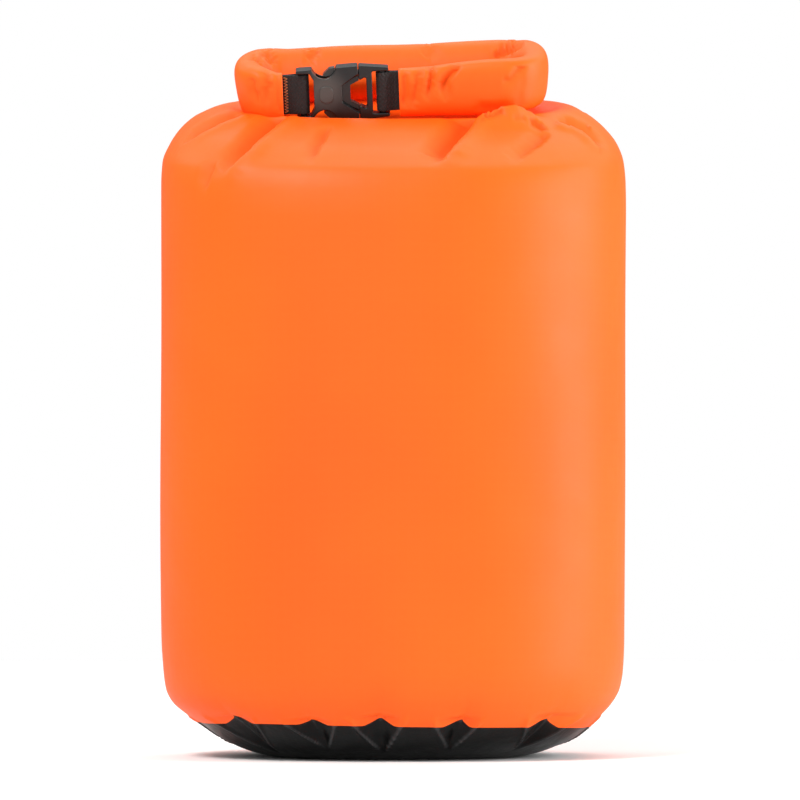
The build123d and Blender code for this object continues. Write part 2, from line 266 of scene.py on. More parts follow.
def makeCoatedNylon():
    # Ripstop nylon, plain woven and coated on its inner face: fine threads and a faint grid of thicker
    # ones, with the soft satin gleam of filament yarn and paler where it is rubbed, with painted shade, a
    # deeper orange, in its tight corners and along the bottoms of its folds.
    look = {
        "thread": 0.9,  # mm between threads, drawn three times as coarse as the real weave to show
        "ripstop": 5.5,  # mm between the thicker threads
        "colour": "#ff5f03",
        "paleTone": "#ff7424",
        "deep": "#ff5a01",
        "shade": "#e84e00",  # painted shade in tight inner corners
        "folded": "#e65600",  # painted shade along the bottoms of the folds
    }
    material, tree, shader = startMaterial("coatedRipstopNylon", {
        "Roughness": 0.55,
        "IOR": 1.38,
    })
    place = addNode(tree, "UVMap", {}, uv_map="clothUv").outputs["UV"]
    axes = addNode(tree, "SeparateXYZ", {"Vector": place})
    weave = []
    for axis in ("X", "Y"):
        for pitch, power in ((look["thread"], 1.0), (look["ripstop"], 10.0)):
            phase = addNode(tree, "Math", {0: axes.outputs[axis], 1: math.pi / (pitch * mm)},
                    operation="MULTIPLY")
            wave = addNode(tree, "Math", {0: phase.outputs[0]}, operation="COSINE")
            size = addNode(tree, "Math", {0: wave.outputs[0]}, operation="ABSOLUTE")
            ridge = addNode(tree, "Math", {0: size.outputs[0], 1: power}, operation="POWER")
            weave.append(ridge.outputs[0])
    fine = addNode(tree, "Math", {0: weave[0], 1: weave[2]}, operation="MULTIPLY").outputs[0]
    grid = addNode(tree, "Math", {0: weave[1], 1: weave[3]}, operation="MAXIMUM").outputs[0]
    height = addNode(tree, "Math", {0: fine, 1: grid}, operation="ADD").outputs[0]
    body = addNode(tree, "TexCoord", {}).outputs["Object"]
    crumple = addNode(tree, "TexNoise", {"Vector": body, "Scale": 55.0, "Detail": 3.0, "Roughness": 0.45})
    slack = addNode(tree, "TexNoise", {"Vector": body, "Scale": 9.0, "Detail": 2.0})
    tone = addNode(tree, "ValToRGB", {"Fac": slack.outputs["Fac"]})
    tone.color_ramp.elements[0].position, tone.color_ramp.elements[0].color = 0.3, toLinear(look["deep"])
    tone.color_ramp.elements[1].position, tone.color_ramp.elements[1].color = 0.62, toLinear(look["colour"])
    edge = addNode(tree, "NewGeometry", {}).outputs["Pointiness"]
    onRidges = addNode(tree, "MapRange", {"Value": edge, "From Min": 0.54, "From Max": 0.64, "To Max": 0.25})
    # Painted shade: concave places, read from the mesh's pointiness, turn a deeper orange.
    inFold = addNode(tree, "MapRange", {"Value": edge, "From Min": 0.495, "From Max": 0.43, "To Max": 0.8})
    toned = addNode(tree, "Mix", {"Factor": inFold.outputs[0], "A": tone.outputs["Color"],
            "B": look["shade"]}, data_type="RGBA").outputs["Result"]
    threadTone = addNode(tree, "MapRange", {"Value": grid, "To Min": 0.0, "To Max": 0.03})
    paler = addNode(tree, "Math", {0: onRidges.outputs[0], 1: threadTone.outputs[0]}, operation="MAXIMUM")
    colour = addNode(tree, "Mix", {"Factor": paler.outputs[0], "A": toned, "B": look["paleTone"]},
            data_type="RGBA")
    # Painted shade along the bottoms of the folds, as deep as the creaseDepth attribute says.
    depth = addNode(tree, "Attribute", {}, attribute_name="creaseDepth").outputs["Fac"]
    folded = addNode(tree, "Mix", {"Factor": depth, "A": colour.outputs["Result"], "B": look["folded"]},
            data_type="RGBA")
    satin = addNode(tree, "MapRange", {"Value": crumple.outputs["Fac"], "To Min": 0.46, "To Max": 0.6})
    rough = addNode(tree, "Math", {0: depth, 1: 0.35, 2: satin.outputs[0]}, operation="MULTIPLY_ADD")
    soft = addNode(tree, "Bump", {"Height": crumple.outputs["Fac"], "Strength": 0.18, "Distance": 0.0022})
    bump = addNode(tree, "Bump", {"Height": height, "Strength": 0.12, "Distance": 0.0001,
            "Normal": soft.outputs["Normal"]})
    plugIn(tree, shader, {"Base Color": folded.outputs["Result"], "Roughness": rough.outputs[0],
            "Normal": bump.outputs["Normal"]})
    return material


def makeBaseCloth():
    # Nylon with a thick polyurethane coat, calendered smooth: near black and glossy, its gloss
    # varying a little, with painted highlights in a lighter grey along the ridges of its creases.
    look = {"colour": "#040404", "creaseHighlight": "#3c3c3d", "grain": 0.7}
    material, tree, shader = startMaterial("polyurethaneCoatedBase", {
        "Roughness": 0.3, "IOR": 1.4, "Specular IOR Level": 0.22,
    })
    body = addNode(tree, "TexCoord", {}).outputs["Object"]
    grain = addNode(tree, "TexNoise", {"Vector": body, "Scale": 1 / (look["grain"] * mm), "Detail": 3.0})
    crumple = addNode(tree, "TexNoise", {"Vector": body, "Scale": 60.0, "Detail": 4.0, "Roughness": 0.5})
    edge = addNode(tree, "NewGeometry", {}).outputs["Pointiness"]
    # Painted highlight: the ridges of its creases turn a lighter grey.
    onRidges = addNode(tree, "MapRange", {"Value": edge, "From Min": 0.51, "From Max": 0.56, "To Max": 0.9})
    colour = addNode(tree, "Mix", {"Factor": onRidges.outputs[0], "A": look["colour"], "B": look["creaseHighlight"]},
            data_type="RGBA")
    rough = addNode(tree, "MapRange", {"Value": crumple.outputs["Fac"], "To Min": 0.22, "To Max": 0.42})
    soft = addNode(tree, "Bump", {"Height": crumple.outputs["Fac"], "Strength": 0.35, "Distance": 0.003})
    bump = addNode(tree, "Bump", {"Height": grain.outputs["Fac"], "Strength": 0.12, "Distance": 0.0002,
            "Normal": soft.outputs["Normal"]})
    plugIn(tree, shader, {"Base Color": colour.outputs["Result"], "Roughness": rough.outputs[0],
            "Normal": bump.outputs["Normal"]})
    return material


def makeWebbingCloth():
    # Polyester webbing, woven in a twill of thick yarns: dark, dry and ribbed, furred at its edges.
    look = {"rib": 1.7, "colour": "#060404", "raised": "#120e0d"}
    material, tree, shader = startMaterial("wovenPolyesterWebbing", {
        "Roughness": 0.7, "IOR": 1.5, "Sheen Weight": 0.06, "Sheen Roughness": 0.5,
    })
    place = addNode(tree, "UVMap", {}, uv_map="clothUv").outputs["UV"]
    axes = addNode(tree, "SeparateXYZ", {"Vector": place})
    spin = 2 * math.pi / (look["rib"] * mm)
    along = addNode(tree, "Math", {0: axes.outputs["X"], 1: spin}, operation="MULTIPLY")
    across = addNode(tree, "Math", {0: axes.outputs["Y"], 1: spin * 0.7}, operation="MULTIPLY")
    zigzag = addNode(tree, "Math", {0: across.outputs[0]}, operation="SINE")
    slant = addNode(tree, "Math", {0: zigzag.outputs[0], 1: 1.6, 2: along.outputs[0]},
            operation="MULTIPLY_ADD")
    ribs = addNode(tree, "Math", {0: slant.outputs[0]}, operation="SINE")
    height = addNode(tree, "MapRange", {"Value": ribs.outputs[0], "From Min": -1.0})
    fuzz = addNode(tree, "TexNoise", {"Vector": addNode(tree, "TexCoord", {}).outputs["Object"],
            "Scale": 900.0, "Detail": 3.0})
    share = addNode(tree, "Math", {0: height.outputs[0], 1: fuzz.outputs["Fac"]}, operation="MULTIPLY")
    colour = addNode(tree, "Mix", {"Factor": share.outputs[0], "A": look["colour"], "B": look["raised"]},
            data_type="RGBA")
    bump = addNode(tree, "Bump", {"Height": share.outputs[0], "Strength": 0.7, "Distance": 0.0005})
    plugIn(tree, shader, {"Base Color": colour.outputs["Result"], "Normal": bump.outputs["Normal"]})
    return material


def makeAcetal():
    # Acetal, injection moulded in a spark-eroded mould: dark grey, satin, with a waxy gleam and
    # edges polished lighter by handling, and a painted highlight in the same lighter grey on the socket's
    # face.
    look = {"grain": 0.35, "colour": "#080809", "paleTone": "#474440",
            "highlightReach": 14.0, "highlightReachMost": 3.0}  # mm from the middle of the painted highlight, where it begins and where it is full
    material, tree, shader = startMaterial("mouldedAcetal", {
        "Roughness": 0.3, "IOR": 1.5, "Specular IOR Level": 0.34,
        "Coat Weight": 0.12, "Coat Roughness": 0.28,
    })
    body = addNode(tree, "TexCoord", {}).outputs["Object"]
    grain = addNode(tree, "TexNoise", {"Vector": body, "Scale": 1 / (look["grain"] * mm), "Detail": 2.0})
    smudge = addNode(tree, "TexNoise", {"Vector": body, "Scale": 120.0, "Detail": 2.0})
    edge = addNode(tree, "NewGeometry", {}).outputs["Pointiness"]
    onRidges = addNode(tree, "MapRange", {"Value": edge, "From Min": 0.54, "From Max": 0.7, "To Max": 0.55})
    # Painted highlight: lighter towards a point on the front of the socket, standing in for the reflection of
    # the lights in its face.
    low, high = boxOf("buckle_socket")
    highlightCentre = tuple(np.array([low[0] * 0.55 + high[0] * 0.45, low[1], (low[2] + high[2]) / 2]) * mm)
    reach = addNode(tree, "VectorMath", {0: body, 1: highlightCentre}, operation="DISTANCE").outputs["Value"]
    paintedHighlight = addNode(tree, "MapRange", {"Value": reach, "From Min": look["highlightReach"] * mm,
            "From Max": look["highlightReachMost"] * mm, "To Max": 0.9},
            interpolation_type="SMOOTHSTEP")
    lighter = addNode(tree, "Math", {0: onRidges.outputs[0], 1: paintedHighlight.outputs[0]}, operation="MAXIMUM")
    colour = addNode(tree, "Mix", {"Factor": lighter.outputs[0], "A": look["colour"], "B": look["paleTone"]},
            data_type="RGBA")
    rough = addNode(tree, "MapRange", {"Value": smudge.outputs["Fac"], "To Min": 0.3, "To Max": 0.44})
    bump = addNode(tree, "Bump", {"Height": grain.outputs["Fac"], "Strength": 0.15, "Distance": 0.00008})
    plugIn(tree, shader, {"Base Color": colour.outputs["Result"], "Roughness": rough.outputs[0],
            "Normal": bump.outputs["Normal"]})
    return material


# A finish whose tone and bump come from one fine pattern.
def makePatterned(name, surface, look, kind, pattern, output, **settings):
    material, tree, shader = startMaterial(name, surface)
    body = addNode(tree, "TexCoord", {}).outputs["Object"]
    fine = addNode(tree, kind, {"Vector": body, **pattern}, **settings).outputs[output]
    colour = addNode(tree, "Mix", {"Factor": fine, "A": look["shade"], "B": look["colour"]},
            data_type="RGBA")
    bump = addNode(tree, "Bump", {"Height": fine, "Strength": look["bump"], "Distance": 0.0001})
    plugIn(tree, shader, {"Base Color": colour.outputs["Result"], "Normal": bump.outputs["Normal"]})
    return material


coatedNylon = makeCoatedNylon()
baseCloth = makeBaseCloth()
webbingCloth = makeWebbingCloth()
acetal = makeAcetal()

# Bonded polyester sewing thread, three plies twisted: small bright strands with dark gaps.
plyWidth = 0.5 * mm
threadFibre = makePatterned(
    "bondedPolyesterThread", {"Roughness": 0.45, "IOR": 1.55, "Sheen Weight": 0.2},
    {"colour": "#c9742e", "shade": "#7a3f16", "bump": 0.5},
    "TexWave", {"Scale": 1 / plyWidth / 3, "Distortion": 1.0}, "Fac", bands_direction="DIAGONAL")

# Polyester stiffening tape, extruded and slit: milky, smooth, with faint lines along its length.
lineWidth = 0.8 * mm
stripPlastic = makePatterned(
    "extrudedPolyesterTape", {"Roughness": 0.4, "IOR": 1.57},
    {"colour": "#b9b4aa", "shade": "#8e897f", "bump": 0.3},
    "TexWave", {"Scale": 1 / lineWidth / 3}, "Fac", bands_direction="Z")

# Heat-pressed seam tape on the inner face: clear grey film over a knit, with a soft shine.
knitSize = 1.1 * mm
seamTapeFilm = makePatterned(
    "heatPressedSeamTape", {"Roughness": 0.35, "IOR": 1.5},
    {"colour": "#8d8f92", "shade": "#6b6d70", "bump": 0.3},
    "TexVoronoi", {"Scale": 1 / knitSize}, "Distance")
print("materials ready")


# Bag skin: one surface from the middle of the base to the slit under the roll. Rows of
# height, left and right half width, half depth, middle in y, forward lean in degrees.
bag = {
    "columns": 560,
    "squareness": 2.2,  # 2 is an ellipse
    "foot": [
        (0.9, 1.5, 1.5, 1.5, 0, 0),
        (0.7, 24, 24, 17, 0, 0),
        (0.2, 48, 50, 33, 0, 0),
        (0.0, 57, 59.5, 39.5, 0, 0),
        (1.5, 66, 68.5, 46.5, 0, 0),
        (6.3, 79.5, 82, 57.5, 0, 0),
        (10.5, 86.5, 90, 63, 0, 0),
    ],
    "side": [
        (17, 95.6, 98.2, 69.5, 0, 0),
        (21.6, 103, 103.4, 72.8, 0, 0),
        (27.4, 109.3, 108, 75.8, 0, 0),
        (33.3, 112, 110.8, 77.6, 0, 0),
        (43, 113.2, 112.4, 79, 0, 0),
        (60, 114, 113.2, 79.6, 0, 0),
        (110, 114, 113.5, 80, 0, 0),
        (180, 114, 113.6, 80, 0, 0),
        (240, 114, 113.6, 79.8, 0, 0),
        (265, 114, 113.6, 79.0, 0, 0.5),
        (280, 114, 113.3, 76.8, 0, 2),
        (291, 113.4, 112.2, 73.0, 0.2, 3.5),
        (299.4, 110.0, 109.0, 66.0, 0.5, 6),
        (306.2, 105.4, 103.6, 57.5, 1.0, 8),
        (311, 100.2, 98.2, 48.5, 1.5, 10),
        (314.8, 94.0, 93.0, 40.5, 1.9, 11),
        (317.4, 87, 88, 33.5, 2.1, 12),
        (318.2, 81.5, 82.5, 28, 2.1, 12),
        (317.0, 76, 77, 22.5, 2.3, 13),
        (316.0, 69, 70, 18, 3.5, 15),
        (316.8, 60, 60, 13, 7, 15),
        (319, 52, 52, 8, 11, 15),
        (323, 48, 48, 4.5, 13.5, 15),
    ],
    "weld": 17.0,  # height of the base weld on the left
    "weldRight": 14.9,
    "weldFrontLift": 1.5,
    "slack": 0.7,  # mm of gentle waving in the filled cloth
    "uprightRow": 12,  # which of these rows the upright sides and the shoulder start at
    "shoulderRow": 15,
}

# Puckers where the base is welded on: where the cloth peaks, the two sides of the hollow under it,
# how low that hollow reaches, how deep it is and how far the weld is drawn up, in mm.
pinches = [
    {"peak": -73, "left": -86, "right": -64, "low": 3.0, "deep": 2.6, "rise": 4.2},
    {"peak": -38.3, "left": -51, "right": -27.5, "low": 6.3, "deep": 3.6, "rise": 3.0},
    {"peak": -6.2, "left": -20.5, "right": 4.8, "low": 4.2, "deep": 4.4, "rise": 4.6},
    {"peak": 32.3, "left": 18.0, "right": 40.5, "low": 5.4, "deep": 3.8, "rise": 4.2},
    {"peak": 72.5, "left": 62.0, "right": 86, "low": 4.5, "deep": 2.8, "rise": 4.6},
]

# Folds in the shoulder's front. Each has its route in x and z, width, lean, depth, crease and fade at its two
# ends, then what its lip is.
shoulderFolds = [
    ([(-71, 316), (-84, 311.5), (-96, 305.5), (-106, 300)], 10, 0.3, 3.8, 0.6, (0.1, 0.45), 1.2, 5.5, 3.4),
    ([(-53, 314), (-64, 305), (-76, 294), (-87, 282)], 13, 0.25, 5.6, 0.55, (0.05, 0.5), 1.8, 6.0, 4.5),
    ([(-31, 309), (-37, 299), (-42, 289)], 8, 0.3, 2.4, 0.6, (0.2, 0.5)),
    ([(-86, 294), (-90, 285), (-94, 274)], 9, 0.3, 1.8, 0.5, (0.3, 0.5)),
    ([(41, 316), (33, 306), (26, 298), (19, 289)], 15, 0.22, 6.4, 0.55, (0.05, 0.4), 1.6, 6.0, 4.5),
    ([(75, 306), (70, 301), (62, 295), (56, 290)], 10, 0.3, 2.6, 0.5, (0.1, 0.6)),
    ([(79, 312), (90, 308.5), (97, 303), (104, 297)], 9, 0.3, 3.6, 0.6, (0.15, 0.4), 1.4, 5, 3.5, -1),
]

# The flap pinched up in front of the roll on the right, as routes of x and y, pushed mostly upward.
shoulderFlaps = [
    ([(33, -31), (44, -30), (55, -27.5), (64, -24.5), (76, -19)], 10.5, 0.25, -8.6, 1.0, (0.55, 0.4)),
]

# Hollows under that flap, as routes of x and z.
flapFolds = [
    ([(40, 314.5), (47, 315.3), (53.5, 318.5)], 5.0, 0.3, 2.0, 0.5, (0.35, 0.15), 0, 0, 0, -1),
    ([(52, 314.2), (59, 312.6), (65, 312.4)], 2.6, 1.0, 0.9, 0.8, (0.25, 0.2)),
    ([(65.5, 313), (70, 310), (74.5, 307)], 5.0, 0.35, 2.4, 0.6, (0.3, 0.2)),
]


def profileRows(table, spread):  # rows read off the profile's curve where spread puts them
    table = np.array(table, float)
    middle = (table[:, 1] + table[:, 2]) / 2
    steps = np.hypot(np.hypot(np.diff(middle), np.diff(table[:, 3])) * 0.7, np.diff(table[:, 0]))
    run = np.concatenate([[0], np.cumsum(steps)])
    at = spread(run)
    return np.stack([flowThrough(at, run, table[:, n]) for n in range(table.shape[1])], 1)


def ovalRows(rows, columns, squareness):  # oval sections, starting at the back and going round by the left
    turn = np.linspace(0, 2 * np.pi, columns, endpoint=False)[None, :]
    c, s = -np.sin(turn), np.cos(turn)
    power = 2 / squareness
    width = np.where(c < 0, rows[:, 1:2], rows[:, 2:3])
    x = width * np.sign(c) * np.abs(c) ** power
    y = rows[:, 3:4] * np.sign(s) * np.abs(s) ** power
    z = rows[:, 0:1] + y * np.tan(np.radians(rows[:, 5:6]))
    return np.stack([x + 0 * z, y + rows[:, 4:5] + 0 * z, z], -1)


def nearSpread(run):  # rows closer together at the foot and the shoulder
    flatRun, uprightRun, shoulderRun = run[3], run[bag["uprightRow"]], run[bag["shoulderRow"]]
    return np.concatenate([
        np.linspace(0, flatRun, 6, endpoint=False),
        np.linspace(flatRun, uprightRun, 74, endpoint=False),
        np.linspace(uprightRun, shoulderRun, 30, endpoint=False),
        np.linspace(shoulderRun, run[-1], 96),
    ])


rows = profileRows(bag["foot"] + bag["side"], nearSpread)
skin = ovalRows(rows, bag["columns"], bag["squareness"])
notSide = (rows[:, 1] < 90) | (rows[:, 3] < 60)
weldRow = int(np.argmin(np.where(notSide, np.inf, np.abs(rows[:, 0] - bag["weld"]))))
girth = lengthsAlong(np.concatenate([skin, skin[:, :1]], 1), 1)  # mm round each row from the back
front = skin[..., 1] < rows[:, 4:5]
weldX, weldGirth = skin[weldRow, :, 0], girth[weldRow, :-1]
weldFront = skin[weldRow, :, 1] < 0
order = np.argsort(weldX[weldFront])
weldLength = girth[weldRow, -1]


def girthAt(x):  # place on the front of the weld
    return float(np.interp(x, weldX[weldFront][order], weldGirth[weldFront][order]))


rng = np.random.default_rng(7)
backPinches = {"count": 11, "from": 94, "gap": 20, "shift": 5, "reach": (9, 15), "low": (3, 7),
        "deep": (2.4, 4.2), "rise": (2.4, 4.6)}
hollows = [{k: girthAt(p[k]) for k in ("peak", "left", "right")} | {k: p[k] for k in ("low", "deep", "rise")}
        for p in pinches]
firstPlace = girthAt(backPinches["from"]) + backPinches["gap"]
lastPlace = girthAt(-backPinches["from"]) + weldLength - backPinches["gap"]
for place in np.linspace(firstPlace, lastPlace, backPinches["count"]):  # the rest of the way round
    middle = place + rng.uniform(-backPinches["shift"], backPinches["shift"])
    hollow = {"peak": middle, "left": middle - rng.uniform(*backPinches["reach"]),
            "right": middle + rng.uniform(*backPinches["reach"])}
    hollows.append(hollow | {k: rng.uniform(*backPinches[k]) for k in ("low", "deep", "rise")})

frontLift = bag["weldFrontLift"] * smoothStep(-skin[weldRow, :, 1], 20, 60)
weldHeight = bag["weld"] + frontLift + (bag["weldRight"] - bag["weld"]) * smoothStep(weldX, -95, 95)
pull = np.zeros(bag["columns"])
sink = np.zeros(skin.shape[:2])
for hollow in hollows:
    off = (weldGirth - hollow["peak"] + weldLength / 2) % weldLength - weldLength / 2
    leftWidth = hollow["peak"] - hollow["left"]
    rightWidth = hollow["right"] - hollow["peak"]
    share = np.abs(off) / np.where(off < 0, leftWidth, rightWidth)
    pull += hollow["rise"] * np.clip(1 - share / 0.62, 0, 1) ** 1.2
    top = bag["weld"] + hollow["rise"]
    drop = np.clip((top - skin[..., 2]) / (top - hollow["low"]), 0, 1.4)
    opening = np.clip(1 - drop, 0, 1) ** 0.75 + 1e-3
    inside = share[None, :] / opening
    hollowed = np.clip(1 - inside, 0, 1)
    valley = 0.75 * hollowed + 0.25 * smoothStep(hollowed) - 0.35 * np.clip(1 - inside / 0.16, 0, 1)
    sink += hollow["deep"] * valley * (1 - smoothStep(drop, 0.6, 1.05)) * (drop > 0)
    lipShape = np.exp(-((inside - 1.06) / 0.11) ** 2) * (drop > 0) * (1 - smoothStep(drop, 0.75, 1.0))
    sink -= 0.30 * hollow["deep"] * lipShape * (opening > 0.1)
    above = np.clip((skin[..., 2] - top) / 26, 0, 1)  # the hollow dies away up the side wall
    dying = np.clip(1 - share[None, :] * 0.9, 0, 1) ** 1.5 * (1 - above) ** 3
    sink += 0.5 * hollow["deep"] * dying * (drop <= 0)
boundary = weldHeight + pull

rowHeight, rowDepth = rows[:, 0:1], rows[:, 3:4]
normals = gridNormals(skin, True)
outward = np.einsum("ijk,ijk->ij", normals, skin - [0, 0, 150]) > 0
if outward.mean() < 0.5:
    normals = -normals
normals[rows[:, 3] < 3] = [0, 0, -1]
level = np.clip(rows[:, 0] / 60, 0, 1)[:, None]
around = 2 * np.pi * girth[:, :-1] / girth[:, -1:]
rise = rowHeight / 350
wave = (np.sin(3 * around + 5 * rise + 0.6) * 0.5 + np.sin(5 * around - 7 * rise + 2.1) * 0.3
        + np.sin(9 * around + 11 * rise + 4.0) * 0.18 + np.sin(2 * around + 13 * rise) * 0.25)
push = bag["slack"] * wave * level
frontFade = smoothStep(skin[..., 1], 4, 24)
creases = np.zeros(skin.shape[:2])
gathers = {"count": 26, "sway": 0.25, "width": (0.035, 0.085), "low": (268, 300), "top": 317,
        "deep": (1.2, 3.2)}  # widths are angles in radians
for n in range(gathers["count"]):  # fanning from the neck round the sides and the back
    middle = rng.uniform(0, 2 * np.pi)
    sway = rng.uniform(-gathers["sway"], gathers["sway"])
    thin = rng.uniform(*gathers["width"])
    far = rng.uniform(*gathers["low"])
    drift = middle + sway * (320 - rowHeight) / 60
    off = (around - drift + np.pi) % (2 * np.pi) - np.pi
    reach = smoothStep(rows[:, 0], far, gathers["top"])[:, None]
    shape = np.clip(1 - np.abs(off) / np.where(off > 0, thin, thin * 0.45), 0, 1) ** 1.4
    gather = rng.uniform(*gathers["deep"]) * shape * reach * frontFade
    push -= gather
    creases += 0.2 * gather
inBase = rows[:, 3] < 45
push[inBase] *= 0.1
folded = foldCloth(skin, normals, shoulderFolds, front & (rowHeight > 255) & (rowDepth > 25))
nearFlap = front & (rowHeight > 285) & (rowDepth > 24)
raised = foldCloth(skin, normals, shoulderFlaps, nearFlap, view=(0, 1))
skin = skin + normals * (push + folded - sink)[..., None] + np.array([0, -0.25, 1]) * raised[..., None]
flapNormals = gridNormals(skin, True)
flapNormals *= np.sign(np.einsum("ijk,ijk->ij", flapNormals, normals))[..., None]
tucked = foldCloth(skin, flapNormals, flapFolds, front & (rowHeight > 285) & (rowDepth > 26)
        & (flapNormals[..., 1] < -0.15))
skin = skin + flapNormals * tucked[..., None]
# These fold depths also darken the nylon there as painted shade.
creases = np.clip(creases + np.clip(-folded / 5.0, 0, 1) + np.clip(-tucked / 2.0, 0, 1), 0, 0.95)
skin[..., 2] = np.where(rowHeight < 30, np.maximum(skin[..., 2], 0.0), skin[..., 2])

# back seam: a lap of cloth down the middle of the back
lap = {"width": 11.0, "proud": 0.5}
offBack = np.minimum(girth[:, :-1], girth[:, -1:] - girth[:, :-1])
step = lap["proud"] * (1 - smoothStep(offBack, lap["width"] / 2 - 0.8, lap["width"] / 2 + 0.8))
skin = skin + normals * (step * (rowHeight > 30) * (rowHeight < 316))[..., None]
print("bag skin shaped:", skin.shape)


# Cut the skin along the weld: every column is re-read along its own length.
run = lengthsAlong(skin, 0)
split = np.zeros(bag["columns"])
lowRow = int(np.searchsorted(rows[:, 1], 70))
for c in range(bag["columns"]):
    z = skin[lowRow:weldRow + 30, c, 2]
    split[c] = np.interp(boundary[c], np.maximum.accumulate(z), run[lowRow:weldRow + 30, c])


def takeRows(surface, starts, ends, fractions):
    made = np.zeros((len(fractions), *surface.shape[1:]))
    for c in range(surface.shape[1]):
        at = starts[c] + (ends[c] - starts[c]) * fractions
        for n in range(surface.shape[2]):
            made[:, c, n] = np.interp(at, run[:, c], surface[:, c, n])
    return made


wallFractions = np.concatenate([
    np.linspace(0, 0.13, 34, endpoint=False),
    np.linspace(0.13, 0.62, 34, endpoint=False),
    np.linspace(0.62, 1, 98),
])
wall = takeRows(skin, split, run[-1], wallFractions)
wallUv = np.stack([
    np.repeat(girth[weldRow + 40][None], len(wall), 0),
    lengthsAlong(np.concatenate([wall, wall[:, :1]], 1), 0),
], -1)
wallCreases = takeRows(creases[..., None], split, run[-1], wallFractions)
sideWall = gridObject("sideWall", wall, coatedNylon, uv=wallUv, crease=wallCreases)

tuck, tuckInset = 5.0, 0.7  # mm that the base cloth goes up inside the side wall, and how far inside it
baseRows = takeRows(skin, np.zeros(bag["columns"]), split + tuck, np.linspace(0, 1, 92))
baseRun = lengthsAlong(baseRows, 0)
hidden = smoothStep(baseRun - baseRun[-1:] + tuck, -0.2, 0.6)
baseNormals = gridNormals(baseRows, True)
if np.einsum("ijk,ijk->ij", baseNormals, baseRows - [0, 0, 60]).mean() < 0:
    baseNormals = -baseNormals
baseRows = baseRows - baseNormals * (hidden * tuckInset)[..., None]
basePanel = gridObject("basePanel", baseRows, baseCloth, caps=(0,))
print("side wall and base panel cut")


# The roll's own frame: x along the roll, y to the back, z up through its width.
loopX = -np.array(joints["loop_lift"]["axis"])
loopY = np.array(joints["lower_prong_press"]["axis"])
loopZ = np.cross(loopX, loopY)
loopAt = np.array(joints["loop_lift"]["pos_m"]) / mm


def inLoop(x, y, z):
    x, y, z = np.broadcast_arrays(x, y, z)
    return loopAt + x[..., None] * loopX + y[..., None] * loopY + z[..., None] * loopZ


def loopBox(node):  # a CAD node's corners in that frame
    points = np.array([v.co for v in frame["nodes"][node].data.vertices]) / mm - loopAt
    own = points @ np.stack([loopX, loopY, loopZ], 1)
    return own.min(0), own.max(0)


backLow, backHigh = loopBox("rolled_mouth_back")
armLow, armHigh = loopBox("rolled_mouth_right")
leftX, rightX, armX = backLow[0], backHigh[0], armLow[0]
bendRadius = -(armLow[1] + armHigh[1]) / 4
frontY = -2 * bendRadius

roll = {
    "around": 112,  # points round its section
    "spacing": 0.85,  # mm between sections
    "half": 6.3,  # half thickness
    "rise": 13.3,  # half height of the two arms
    "backRise": 14.6,  # half height behind
    "bulge": 8.0,  # how far the run behind swells into the loop
    "squareness": 3.0,
    "slope": 1.55,  # squareness of that swelling, low so that its top slopes forward
    "layers": [  # size and depth in mm of the steps across a rolled end
        (0.97, 0.35), (0.90, 0.4), (0.84, 0.0), (0.82, -1.3), (0.72, -1.3), (0.69, -0.1), (0.60, 0.1),
        (0.57, -1.2), (0.47, -1.2), (0.44, -0.1), (0.34, 0.0), (0.31, -1.2), (0.18, -1.2), (0.08, -0.6),
    ],
    "endPinch": 0.22,  # how much thinner its ends are pressed
    "leftFlare": 1.8,  # mm that the top and bottom of its bends stand out
    "rightFlare": 1.2,
    "armDrop": 2.4,  # mm that its top comes down towards the right end, and at the left end
    "leftDrop": 2.6,
    "cornerRise": 1.4,
}

# Creases in the roll, as routes of x and z: on the arms in front, then along the top behind.
armFolds = [
    ([(12, 338), (11, 328), (8, 316)], 4.0, 1.0, 1.7, 0.5, (0.2, 0.3)),
    ([(18.5, 339), (18.5, 331), (16, 320)], 4.2, 0.35, 2.3, 0.6, (0.15, 0.35)),
    ([(32, 339), (27, 332), (22, 323)], 6.0, 0.3, 2.8, 0.6, (0.2, 0.35)),
    ([(26, 331), (27, 326), (24, 320)], 4.4, 0.4, 1.0, 0.5, (0.3, 0.4)),
    ([(5, 336), (5.5, 326), (4.5, 317)], 3.0, 1.0, 1.2, 0.5, (0.2, 0.2)),
    ([(38, 318), (48, 317), (60, 318)], 5, 1.0, 0.9, 0.2, (0.3, 0.3)),
    ([(52, 328), (58, 333), (62, 338)], 4, 0.5, 1.1, 0.5, (0.3, 0.1)),
    ([(62.5, 339), (62, 328), (61.5, 316)], 6, 0.5, 0.5, 0.3, (0.1, 0.2)),
    ([(-57.6, 338), (-56.6, 326), (-55.9, 315)], 1.3, 1.0, 0.5, 0.8, (0.05, 0.05)),
    ([(-62, 337), (-61, 328), (-63, 318)], 5, 0.4, 1.5, 0.4, (0.2, 0.4)),
    ([(-70, 334), (-68, 326), (-66, 318)], 5, 0.4, 1.3, 0.5, (0.3, 0.4)),
]
topFolds = [
    ([(-77, 337), (-70, 340.5), (-63, 341)], 5, 0.5, 1.6, 0.6, (0.2, 0.3)),
    ([(-63, 346), (-61, 342), (-59, 339)], 5, 0.4, 1.6, 0.6, (0.3, 0.2)),
    ([(-36, 347), (-39, 344), (-43, 341)], 7, 0.4, 1.3, 0.5, (0.4, 0.1)),
    ([(64, 348), (56, 345.5), (47, 342)], 7, 0.4, 2.2, 0.6, (0.35, 0.2)),
    ([(22, 348), (19, 345), (14, 342)], 8, 0.6, 0.8, 0.3, (0.4, 0.2)),
]

turnLength = math.pi * bendRadius
rollStops = np.cumsum([0, turnLength, rightX - leftX, turnLength, rightX - armX])
steps = []
for a, b in zip(rollStops[:-1], rollStops[1:]):
    count = int(round((b - a) / roll["spacing"]))
    steps.append(np.arange(count) / count * (b - a) + a)
splitRow = len(steps[0]) + len(steps[1])
rollRun = np.concatenate(steps + [[rollStops[-1]]])


